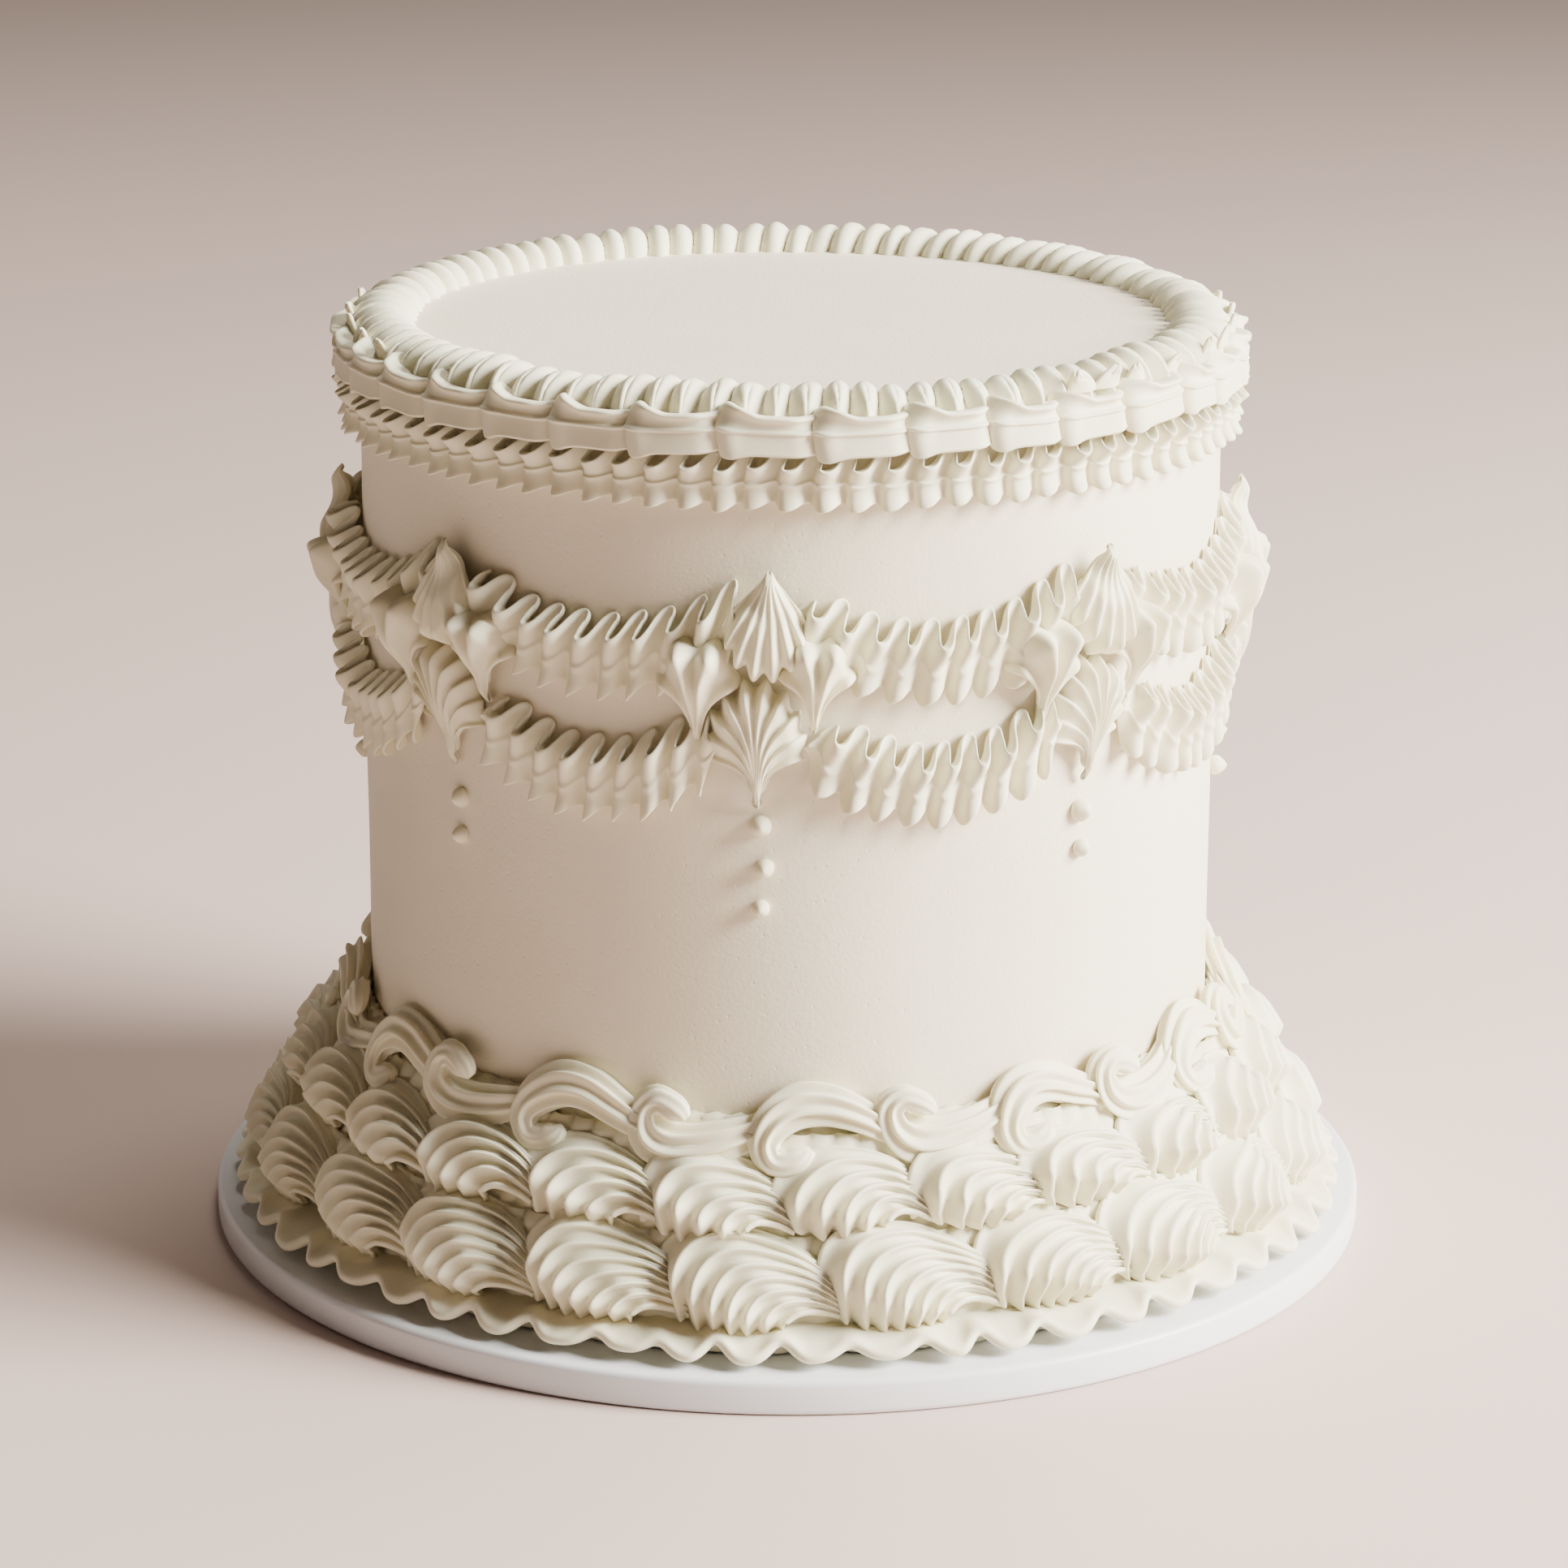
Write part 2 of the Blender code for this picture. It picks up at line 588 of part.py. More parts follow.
def make_base_ruffle(parts):
    """The wavy petal-tip ruffle that lies on the board under the shells."""

    def section(i):
        out = RUFFLE_SWING if i % 2 == 0 else -RUFFLE_SWING
        lift = RUFFLE_LIFT if i % 2 == 0 else 0.0
        rim = RUFFLE_OUTER + out + uneven(i, RUFFLE_UNEVEN)
        top = FLOOR + RUFFLE_THICKNESS
        return [(RUFFLE_INNER, FLOOR, 0.0),
                (RUFFLE_INNER, top, 0.0),
                (rim, top + lift, 0.0),
                (rim - RUFFLE_RIM_TUCK, FLOOR + RUFFLE_RIM_LIFT * lift, 0.0)]

    mesh = ring_loft("base_ruffle", 2 * RUFFLE_WAVES, section)
    add_object("base_ruffle", mesh, parts, icing("ruffle_icing", 0.99))


def main():
    clear_scene()
    parts = collection("lambeth_cake")
    make_board(parts)
    make_body(parts)
    make_inner_rope(parts)
    make_band(parts)
    make_under_ruffle(parts)
    make_swags(parts, ornament_clearance(collection("cutters")))
    make_ornaments(parts)
    make_scroll_row(parts)
    make_shell_rows(parts)
    make_base_ruffle(parts)


main()
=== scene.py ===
from math import cos, pi, radians, sin, tau

import bpy
import numpy as np
from mathutils import Matrix, Vector, noise


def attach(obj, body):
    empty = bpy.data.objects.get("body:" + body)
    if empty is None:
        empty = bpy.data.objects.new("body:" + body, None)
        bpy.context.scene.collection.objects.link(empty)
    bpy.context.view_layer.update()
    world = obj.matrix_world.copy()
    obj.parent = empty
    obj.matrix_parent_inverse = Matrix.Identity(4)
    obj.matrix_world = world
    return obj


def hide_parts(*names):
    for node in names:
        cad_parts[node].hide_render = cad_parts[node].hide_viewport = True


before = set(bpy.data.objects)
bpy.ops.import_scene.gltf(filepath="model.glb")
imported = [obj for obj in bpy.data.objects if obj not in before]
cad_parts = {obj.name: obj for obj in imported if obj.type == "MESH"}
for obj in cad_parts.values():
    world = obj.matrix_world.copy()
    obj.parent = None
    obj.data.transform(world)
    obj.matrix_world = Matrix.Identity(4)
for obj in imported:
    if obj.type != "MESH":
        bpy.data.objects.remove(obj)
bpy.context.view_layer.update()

# Without a seed Blender's noise vectors start from the time of day, and no two runs are alike
noise.seed_set(1)

# Main sizes of the cake, in metres, with z = 0 at the underside of the board
CAKE_RADIUS = 0.0740
CAKE_TOP = 0.1593
CAKE_FOOT = 0.0060
CAKE_EDGE = 0.0030
BOARD_RADIUS = 0.1020
BOARD_THICKNESS = 0.0060
BOARD_EDGE = 0.0011

# The eight ornaments sit almost evenly round the side, the first a little left of the front
ORNAMENTS = 8
ORNAMENT_FIRST = radians(-3.4)
ORNAMENT_DRIFT = radians(2.2)
ORNAMENT_HEIGHT = 0.1159

# How far the inner folds of the piped ribbons stand off the cake, and the height of their vein
RIBBON_SEAT = 0.0009
VEIN_HEIGHT = 0.0005

# Counts of what repeats round the cake, and where the chain of scrolls begins
ROPE_FOLDS = 96
BAND_SEGMENTS = 34
FRILL_TEETH = 88
SCROLL_PAIRS = 12
SCROLL_FIRST = radians(-50.1)
MIDDLE_SHELLS = 24
LOWER_SHELLS = 22
HEM_WAVES = 56

FLOOR_SIDE = 30.0

# The camera: lens and sensor in millimetres, its place, and its angles down and about its axis
CAMERA_LENS = 111.72
CAMERA_SENSOR = 36.0
CAMERA_PLACE = (-0.000915, -0.82304, 0.31595)
CAMERA_DOWN = radians(16.249)
CAMERA_ROLL = radians(0.2465)


# Small tools shared by all the piping

def ring(angle, radius, height):
    """Points at these azimuths, 0 at the front and positive to the right."""
    return np.stack([radius * np.sin(angle), -radius * np.cos(angle), height + 0.0 * angle], axis=-1)


def wander(place, count, seed, amount):
    """A smooth random swing: one value at each of count steps as place runs from 0 to 1 and closes."""
    values = np.random.default_rng(seed).uniform(-amount, amount, count)
    spot = np.mod(place, 1.0) * count
    low = np.floor(spot).astype(int)
    share = spot - low
    share = share * share * (3.0 - 2.0 * share)
    return values[low % count] * (1.0 - share) + values[(low + 1) % count] * share


def bump(value, middle, width):
    """A smooth hump of height 1 at the middle, nearly gone two widths away."""
    return np.exp(-((value - middle) / width) ** 2)


def ease(value, low, high):
    """Rises smoothly from 0 at low to 1 at high."""
    share = np.clip((value - low) / (high - low), 0.0, 1.0)
    return share * share * (3.0 - 2.0 * share)


def follow(value, stops, levels):
    """The level at this value, eased from stop to stop."""
    value = np.asarray(value, dtype=float)
    level = np.full_like(value, levels[0])
    for n in range(len(stops) - 1):
        level += (levels[n + 1] - levels[n]) * ease(value, stops[n], stops[n + 1])
    return level


def pick_none():
    bpy.ops.object.select_all(action="DESELECT")


def edit(piece, *steps):
    """Runs edit-mode steps on this piece alone."""
    pick_none()
    piece.select_set(True)
    bpy.context.view_layer.objects.active = piece
    bpy.ops.object.mode_set(mode="EDIT")
    for step in steps:
        step()
    bpy.ops.object.mode_set(mode="OBJECT")


def pick_all():
    bpy.ops.mesh.select_all(action="SELECT")


def close_seams():
    """Merges the edges that meet and turns every face outward."""
    pick_all()
    bpy.ops.mesh.remove_doubles(threshold=0.000002)
    bpy.ops.mesh.normals_make_consistent(inside=False)


def finish(piece, kind, **settings):
    """Adds one modifier with these settings and applies it."""
    pick_none()
    piece.select_set(True)
    bpy.context.view_layer.objects.active = piece
    added = piece.modifiers.new(kind.title(), kind)
    for key, value in settings.items():
        setattr(added, key, value)
    bpy.ops.object.modifier_apply(modifier=added.name)


def points_of(piece):
    """The places of the piece's vertices, one row each."""
    flat = np.empty(len(piece.data.vertices) * 3)
    piece.data.vertices.foreach_get("co", flat)
    return flat.reshape(-1, 3)


def set_points(piece, points):
    """Moves the piece's vertices to these places, one row each."""
    piece.data.vertices.foreach_set("co", np.asarray(points, dtype=np.float64).ravel())
    piece.data.update()


def faces_inward(piece):
    """True where a laid sheet's faces look at the cake and not away from it."""
    faces = piece.data.polygons
    sides, middles, areas = np.empty(len(faces) * 3), np.empty(len(faces) * 3), np.empty(len(faces))
    faces.foreach_get("normal", sides)
    faces.foreach_get("center", middles)
    faces.foreach_get("area", areas)
    away = middles.reshape(-1, 3) * (1.0, 1.0, 0.0)
    away /= np.linalg.norm(away, axis=1)[:, None]
    away[:, 2] = 1.0
    return np.sum(np.sum(sides.reshape(-1, 3) * away, axis=1) * areas) < 0.0


def turn_faces():
    pick_all()
    bpy.ops.mesh.flip_normals()


def lay_sheet(name, columns, rows, laid, wall, rounds=1, closed=False, inward=0.0):
    """A ribbon of icing: a flat grid laid out by a rule of (along, across), then given its wall.

    rows is a number of even rows, or the places of the lines across from 0 to 1.
    """
    lines = np.linspace(0.0, 1.0, rows + 1) if isinstance(rows, int) else np.array(rows)
    pick_none()
    bpy.ops.mesh.primitive_grid_add(x_subdivisions=columns, y_subdivisions=len(lines) - 1, size=1.0)
    piece = bpy.context.object
    piece.name = name
    grid = points_of(piece)
    across = lines[np.rint((grid[:, 1] + 0.5) * (len(lines) - 1)).astype(int)]
    set_points(piece, laid(grid[:, 0] + 0.5, across))
    if closed:
        edit(piece, close_seams)
    if faces_inward(piece):
        edit(piece, turn_faces)
    if wall:
        finish(piece, "SOLIDIFY", thickness=wall, offset=inward, use_even_offset=False)
    if rounds:
        finish(piece, "SUBSURF", levels=rounds, render_levels=rounds)
    piece.data.shade_smooth()
    return piece


def lay_rope(name, around, stations, laid):
    """A closed rope: a sphere whose rings follow a route, by a rule of (along, turn)."""
    pick_none()
    bpy.ops.mesh.primitive_uv_sphere_add(segments=around, ring_count=stations, radius=1.0)
    piece = bpy.context.object
    piece.name = name
    ball = points_of(piece)
    along = np.arccos(np.clip(ball[:, 2], -1.0, 1.0)) / pi
    turn = np.arctan2(ball[:, 1], ball[:, 0])
    set_points(piece, laid(along, turn))
    edit(piece, close_seams)
    piece.data.shade_smooth()
    return piece


def copy_of(piece, name):
    """A copy with its own mesh."""
    made = piece.copy()
    made.data = piece.data.copy()
    made.name = name
    bpy.context.scene.collection.objects.link(made)
    return made


def turn_round(points, angle):
    """Points turned about the cake's axis, to the right for a positive angle."""
    c, s = cos(angle), sin(angle)
    return np.stack([points[:, 0] * c - points[:, 1] * s,
                     points[:, 0] * s + points[:, 1] * c, points[:, 2]], axis=-1)


def roughen(points, size, amount, seed):
    """Moves points by smooth noise, so that no two piped pieces are alike."""
    shift = Vector((seed * 1.7, seed * 0.31, seed * 2.3))
    moved = [amount * noise.noise_vector(Vector(p) / size + shift) for p in points]
    return points + np.array(moved)


def join(pieces, name):
    """One piece made of several."""
    pick_none()
    for piece in pieces:
        piece.select_set(True)
    bpy.context.view_layer.objects.active = pieces[0]
    bpy.ops.object.join()
    made = bpy.context.object
    made.name = name
    made.data.name = name
    return made


# Materials

def plain_material(name, colour, roughness):
    """A new material, with its node tree and its shader."""
    made = bpy.data.materials.new(name)
    made.use_nodes = True
    shader = made.node_tree.nodes["Principled BSDF"]
    shader.inputs["Base Color"].default_value = (*colour, 1.0)
    shader.inputs["Roughness"].default_value = roughness
    return made, made.node_tree, shader


def icing_material(name, colour, grain, pits):
    """Matt buttercream: a faint change of tone, a fine grain and small pits."""
    made, tree, shader = plain_material(name, colour, 0.58)
    shader.inputs["Subsurface Weight"].default_value = 0.22
    shader.inputs["Subsurface Radius"].default_value = (1.0, 0.75, 0.5)
    shader.inputs["Subsurface Scale"].default_value = 0.0016
    shader.inputs["Specular IOR Level"].default_value = 0.32
    place = tree.nodes.new("ShaderNodeTexCoord")

    tone = tree.nodes.new("ShaderNodeTexNoise")
    tone.inputs["Scale"].default_value = 38.0
    tone.inputs["Detail"].default_value = 4.0
    tree.links.new(place.outputs["Object"], tone.inputs["Vector"])
    shades = tree.nodes.new("ShaderNodeValToRGB")
    shades.color_ramp.elements[0].position = 0.30
    shades.color_ramp.elements[0].color = (colour[0] * 0.965, colour[1] * 0.955, colour[2] * 0.93, 1.0)
    shades.color_ramp.elements[1].position = 0.72
    shades.color_ramp.elements[1].color = (*colour, 1.0)
    tree.links.new(tone.outputs["Fac"], shades.inputs["Fac"])
    tree.links.new(shades.outputs["Color"], shader.inputs["Base Color"])

    fine = tree.nodes.new("ShaderNodeTexNoise")
    fine.inputs["Scale"].default_value = 1400.0
    fine.inputs["Detail"].default_value = 3.0
    tree.links.new(place.outputs["Object"], fine.inputs["Vector"])
    soft = tree.nodes.new("ShaderNodeBump")
    soft.inputs["Strength"].default_value = grain
    soft.inputs["Distance"].default_value = 0.0002
    tree.links.new(fine.outputs["Fac"], soft.inputs["Height"])

    holes = tree.nodes.new("ShaderNodeTexVoronoi")
    holes.inputs["Scale"].default_value = 420.0
    tree.links.new(place.outputs["Object"], holes.inputs["Vector"])
    edge = tree.nodes.new("ShaderNodeMapRange")
    edge.inputs["From Min"].default_value = 0.03
    edge.inputs["From Max"].default_value = 0.15
    tree.links.new(holes.outputs["Distance"], edge.inputs["Value"])
    pitted = tree.nodes.new("ShaderNodeBump")
    pitted.inputs["Strength"].default_value = pits
    pitted.inputs["Distance"].default_value = 0.00035
    tree.links.new(edge.outputs["Result"], pitted.inputs["Height"])
    tree.links.new(soft.outputs["Normal"], pitted.inputs["Normal"])
    tree.links.new(pitted.outputs["Normal"], shader.inputs["Normal"])
    return made


def board_material():
    """Smooth white card with a faint sheen."""
    made, tree, shader = plain_material("white_board", (0.80, 0.82, 0.86), 0.38)
    place = tree.nodes.new("ShaderNodeTexCoord")
    grain = tree.nodes.new("ShaderNodeTexNoise")
    grain.inputs["Scale"].default_value = 500.0
    tree.links.new(place.outputs["Object"], grain.inputs["Vector"])
    soft = tree.nodes.new("ShaderNodeBump")
    soft.inputs["Strength"].default_value = 0.08
    soft.inputs["Distance"].default_value = 0.0001
    tree.links.new(grain.outputs["Fac"], soft.inputs["Height"])
    tree.links.new(soft.outputs["Normal"], shader.inputs["Normal"])
    return made


PIPED = icing_material("piped_buttercream", (0.855, 0.814, 0.625), 0.12, 0.05)
SMOOTHED = icing_material("smoothed_buttercream", (0.858, 0.792, 0.635), 0.30, 0.22)
BOARD = board_material()


def hand_over(piece, finish_material, slot, *nodes):
    """The finished piece takes its material, stands for its nodes and rides with the cake."""
    piece.data.materials.clear()
    piece.data.materials.append(finish_material)
    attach(piece, "root")
    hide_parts(*nodes)
    return piece


# The board and the plain cake

def make_board():
    """The round white card under the cake."""
    pick_none()
    bpy.ops.mesh.primitive_cylinder_add(vertices=256, radius=BOARD_RADIUS, depth=BOARD_THICKNESS,
                                        location=(0.0, 0.0, BOARD_THICKNESS / 2))
    board = bpy.context.object
    board.name = "board"
    bpy.ops.object.transform_apply(location=True)
    finish(board, "BEVEL", width=BOARD_EDGE, segments=4, limit_method="ANGLE", angle_limit=radians(40))
    board.data.shade_smooth()
    pick_none()
    board.select_set(True)
    bpy.ops.object.shade_smooth_by_angle(angle=radians(35))
    return hand_over(board, BOARD, "board_white", "cake_board")


def make_body():
    """The smoothed cake: a round cut across in many levels, then made faintly uneven."""
    lift = 0.0002
    depth = CAKE_TOP - CAKE_FOOT - lift
    pick_none()
    bpy.ops.mesh.primitive_cylinder_add(vertices=180, radius=CAKE_RADIUS, depth=depth,
                                        location=(0.0, 0.0, CAKE_FOOT + lift + depth / 2))
    body = bpy.context.object
    body.name = "smoothed_cake"
    bpy.ops.object.transform_apply(location=True)
    finish(body, "BEVEL", width=CAKE_EDGE, segments=5, limit_method="ANGLE", angle_limit=radians(40))
    edit(body, slice_levels)
    edit(body, ring_the_ends)
    points = points_of(body)
    angle = np.arctan2(points[:, 0], -points[:, 1])
    reach = np.hypot(points[:, 0], points[:, 1])
    sway = [noise.noise(Vector((p[0], p[1], p[2] * 0.7)) / 0.030) for p in points]
    reach += 0.00035 * np.array(sway) * np.clip(reach / CAKE_RADIUS, 0.0, 1.0)
    set_points(body, ring(angle, reach, points[:, 2]))
    body.data.shade_smooth()
    return hand_over(body, SMOOTHED, "body_icing", "cake_body")


def slice_levels():
    """Cuts the upright side across every four millimetres, so that it can be made uneven."""
    for step in range(1, 38):
        pick_all()
        height = CAKE_FOOT + 0.004 * step
        bpy.ops.mesh.bisect(plane_co=(0.0, 0.0, height), plane_no=(0.0, 0.0, 1.0))


def ring_the_ends():
    """Insets both round ends a few times, so that they are smooth up to the middle."""
    bpy.ops.mesh.select_mode(type="FACE")
    bpy.ops.mesh.select_all(action="DESELECT")
    bpy.ops.mesh.select_face_by_sides(number=4, type="GREATER")
    for width in (0.006, 0.012, 0.018, 0.016):
        bpy.ops.mesh.inset(thickness=width)
    bpy.ops.mesh.poke()


def ornament_angle(index):
    """Azimuth of an ornament, evenly spaced but for a small drift to the front."""
    even = tau * index / ORNAMENTS
    return ORNAMENT_FIRST + even - ORNAMENT_DRIFT * sin(even)


def make_pearls():
    """Small drops under each ornament: three at the front, two under the others."""
    def drop(along, turn):
        polar = along * pi
        width = 0.00172 * np.sin(polar) ** 0.9
        out = 0.00150 * np.cos(polar) + 0.00055 * np.exp(-(polar / 0.42) ** 2)
        return np.stack([width * np.cos(turn), -out, width * np.sin(turn)], axis=-1)

    first = lay_rope("pearl", 20, 12, drop)
    shape = points_of(first)
    pearls = []
    for k in range(ORNAMENTS):
        heights = (0.0907, 0.0836, 0.0768) if k == 0 else (0.0885, 0.0820)
        for n, height in enumerate(heights):
            pearl = copy_of(first, "pearl")
            swing = np.random.default_rng(10 * k + n).uniform(-1.0, 1.0, 3)
            points = shape * (1.0 + 0.10 * swing[0] - 0.05 * n)
            points = points + np.array([0.0004 * swing[1], -(CAKE_RADIUS + 0.0006), height])
            points = roughen(points, 0.002, 0.00012, 10 * k + n)
            set_points(pearl, turn_round(points, ornament_angle(k)))
            pearls.append(pearl)
    bpy.data.objects.remove(first, do_unlink=True)
    return hand_over(join(pearls, "pearls"), PIPED, "piped_icing", "cake_body")


# The crown: rope inside, broad petal band, toothed frill below

def make_crown_rope():
    """A folded ribbon laid over in an arch: full barrels, each with a slit in its outer side."""
    mid_radius = 0.0696
    mid_height = 0.1573
    half_width = 0.0046
    half_height = 0.0044
    arch_start = radians(212.0)
    arch_turn = radians(-242.0)
    crest = 0.60

    def laid(along, across):
        fold = ROPE_FOLDS * along + 0.9 * (np.minimum(across, crest) - crest)
        fold = fold + 0.10 * np.maximum(across - crest, 0.0)
        fold = fold + wander(along, ROPE_FOLDS, 9, 0.10)
        phase = np.mod(fold, 1.0)
        swell = 1.0 + wander(along, ROPE_FOLDS, 3, 0.20)
        outside = ease(across, 0.55, 0.80)
        barrel = np.sin(pi * np.clip(phase / (1.0 - 0.06 * outside), 0.0, 1.0)) ** 0.60
        slit = bump(phase, 0.56, 0.060) * outside * (1.0 - ease(across, 0.86, 1.0))
        foot = ease(across, 0.90, 1.0)
        out = (0.0022 * barrel + 0.0006 * outside * barrel - 0.0022 * slit) * swell
        out = out - 0.0012 - 0.0008 * foot
        arch = arch_start + arch_turn * across
        wide = half_width + out
        tall = half_height + out + wander(along, ROPE_FOLDS, 5, 0.00060)
        lean = 0.16 * np.sin(tau * phase) * outside * tau / ROPE_FOLDS
        tilt = 0.0008 * np.cos(tau * along)
        radius = mid_radius + wide * np.cos(arch)
        height = mid_height - tilt + tall * np.sin(arch)
        return ring(tau * along + lean, radius, height)

    rope = lay_sheet("crown_rope", ROPE_FOLDS * 23, 15, laid, 0.0006, rounds=0, closed=True)
    return hand_over(rope, PIPED, "piped_icing", "crown_inner_rope")


# Stray leaf tips on the rope: degrees round from the front, lean to the right, size in millimetres
CURLS = ((38.5, -0.45, 4.0), (42.5, 0.35, 3.8), (48.0, -0.20, 3.2), (56.0, 0.30, 3.0),
         (67.0, -0.30, 3.6), (74.0, 0.40, 3.4), (82.0, -0.10, 3.8), (90.0, 0.35, 3.4),
         (101.0, -0.30, 3.2), (148.0, 0.30, 3.2), (203.0, -0.35, 3.4), (207.5, 0.30, 3.0),
         (262.0, -0.30, 3.4), (271.0, 0.35, 3.6), (279.0, -0.20, 3.2), (288.0, 0.40, 3.4),
         (296.0, -0.30, 3.0))


def make_curls():
    """Small notched leaves, standing where the piping was joined or the tip was lifted off."""
    foot_radius = 0.0746
    foot_height = 0.1586
    made = []
    for degrees_round, lean, size in CURLS:
        length = size * 0.001

        def laid(along, across):
            side = 2.0 * across - 1.0
            half = length * (0.10 + 0.66 * (1.0 - along ** 2.2))
            run = half * side + 1.3 * lean * length * along ** 2
            folded = 0.26 * length * (1.0 - np.abs(side) ** 1.5) * (1.0 - 0.5 * along)
            radius = foot_radius + folded + 0.30 * length * along ** 2
            notch = 0.20 * length * np.cos(tau * side) * ease(along, 0.3, 1.0)
            height = foot_height + 0.90 * length * along + notch
            return ring(radians(degrees_round) + run / radius, radius, height)

        made.append(lay_sheet("leaf_curl", 7, 8, laid, 0.0008))
    return hand_over(join(made, "leaf_curls"), PIPED, "piped_icing", "crown_inner_rope")


def make_crown_band():
    """Broad petals, each with a rounded head and a cupped lip over the tail of the one before.

    near is the distance from the closest joint, in petals, and across runs from the lower edge
    over the lip to the inside.
    """
    count = BAND_SEGMENTS
    uneven = wander(np.arange(count + 1) / count, count, 7, 1.0)
    starts = np.radians(2.7 + uneven + 360.0 / count * np.arange(count + 1))

    def laid(along, across):
        spot = along * count
        spot = spot - 0.62 * np.sin(tau * spot) / tau
        near = spot - np.rint(spot)
        top = ease(across, 0.50, 0.80)
        hook = -(0.085 + 0.075 * top) * near / 0.058 * np.exp(0.5 - 0.5 * (near / 0.058) ** 2)
        rounded = 0.17 * top ** 2 + 0.06 * (1.0 - ease(across, 0.0, 0.30))
        petal = spot + hook + rounded * bump(near, 0.04, 0.10)
        back = bump(near, -0.020, 0.085)
        scoop = np.where(near > 0.0, bump(near, 0.0, 0.11), bump(near, 0.0, 0.06))
        lip = bump(across, 0.74, 0.16) + ease(across, 0.74, 0.80)
        lip = np.clip(lip, 0.0, 1.0)
        head = ease(near, 0.02, 0.10) * (1.0 - ease(near, 0.22, 0.44))
        radius = follow(across, (0.0, 0.10, 0.34, 0.60, 0.74),
                        (0.0783, 0.0780, 0.0776, 0.0773, 0.0785))
        bulge = 0.0006 * bump(near, 0.10, 0.10) * np.sin(pi * np.clip(across / 0.8, 0.0, 1.0))
        radius = radius + bulge + 0.00065 * bump(across, 0.42, 0.030) - 0.0026 * back
        radius = radius - 0.0036 * bump(near, 0.0, 0.13) * lip
        inside = ease(across, 0.76, 1.0)
        radius = radius - (0.0028 + 0.0022 * head) * inside - 0.0006 * ease(across, 0.74, 0.80)
        height = follow(across, (0.0, 0.42, 0.74, 0.79), (0.1521, 0.1558, 0.1580, 0.1582))
        height = height + (0.0009 * scoop + 0.0012 * head) * lip - (0.0006 + 0.0014 * head) * inside
        flank = ease(np.abs(np.sin(tau * along)), 0.55, 0.95)
        flick = flank * lip * bump(near, 0.01, 0.07) * (1.0 + wander(along, count, 15, 0.5))
        height = height + 0.0014 * flick
        radius = radius + 0.0010 * flick
        height = height + 0.0004 * scoop * bump(across, 0.42, 0.2)
        low = 1.0 - ease(across, 0.0, 0.40)
        height = height + (0.0008 * back - 0.0010 * bump(near, 0.10, 0.13)) * low
        height = height + wander(along, count, 11, 0.0004)
        radius = radius + wander(along, count * 2, 13, 0.0003)
        step = np.clip(np.floor(petal), -1, count)
        share = petal - step
        first = starts[np.mod(step, count).astype(int)] + tau * np.floor(step / count)
        after = starts[np.mod(step + 1, count).astype(int)] + tau * np.floor((step + 1) / count)
        return ring(first * (1.0 - share) + after * share, radius, height)

    lines = (0.0, 0.05, 0.13, 0.24, 0.34, 0.385, 0.405, 0.42, 0.435, 0.455,
             0.51, 0.60, 0.67, 0.72, 0.755, 0.79, 0.86, 0.93, 1.0)
    band = lay_sheet("crown_band", count * 18, lines, laid, 0.0007, closed=True)
    return hand_over(band, PIPED, "piped_icing", "crown_band")


# Lines across a piped ribbon: its lower edge, the vein at 0.45, the rim at 1, then the inside
RUFFLE_LINES = (0.0, 0.04, 0.12, 0.22, 0.33, 0.40, 0.45, 0.50, 0.58, 0.70, 0.82, 0.93, 1.0, 1.05, 1.2)


def vein(across, height):
    """The thin raised line along the middle of a leaf-tip ribbon."""
    return height * bump(across, 0.45, 0.040)


def make_frill():
    """The toothed ruffle under the band: small loops above the vein and wide teeth below it."""

    def laid(along, across):
        turn = tau * FRILL_TEETH * along + wander(along, FRILL_TEETH, 17, 0.35)
        inside = ease(across, 1.0, 1.2)
        across = np.minimum(across, 1.0)
        upper = ease(across, 0.5, 1.0)
        lower = 1.0 - ease(across, 0.0, 0.36)
        warped = turn - (0.42 - 0.37 * upper) * np.sin(turn)
        front = (1.0 + np.cos(warped)) / 2
        slide = 0.10 * upper + (0.02 + 0.06 * upper) * np.sin(2.0 * warped)
        slide = slide - (0.07 + 0.12 * upper) * np.cos(warped)
        deep = 0.0016 + 0.0020 * upper + 0.0012 * lower
        deep = deep * (1.0 + wander(along, FRILL_TEETH, 19, 0.22))
        radius = CAKE_RADIUS + RIBBON_SEAT + deep * front + vein(across, VEIN_HEIGHT)
        radius = radius - 0.0004 * bump(across, 0.68, 0.12) - 0.0003 * bump(across, 0.25, 0.12)
        radius = CAKE_RADIUS + (radius - CAKE_RADIUS) * (1.0 - 0.75 * inside)
        height = follow(across, (0.0, 0.45, 1.0), (0.1433, 0.1471, 0.1508)) - 0.0004 * inside
        height = height - (0.0006 + 0.0020 * upper + 0.0002 * lower) * (front - 0.5)
        height = height + 0.0004 * lower * np.sin(warped)
        height = height + wander(along, FRILL_TEETH, 23, 0.0003)
        return ring(tau * along + slide * tau / FRILL_TEETH, radius, height)

    frill = lay_sheet("toothed_frill", FRILL_TEETH * 10, RUFFLE_LINES[1:], laid, 0.00048, closed=True)
    return hand_over(frill, PIPED, "piped_icing", "crown_under_ruffle")


# Swags

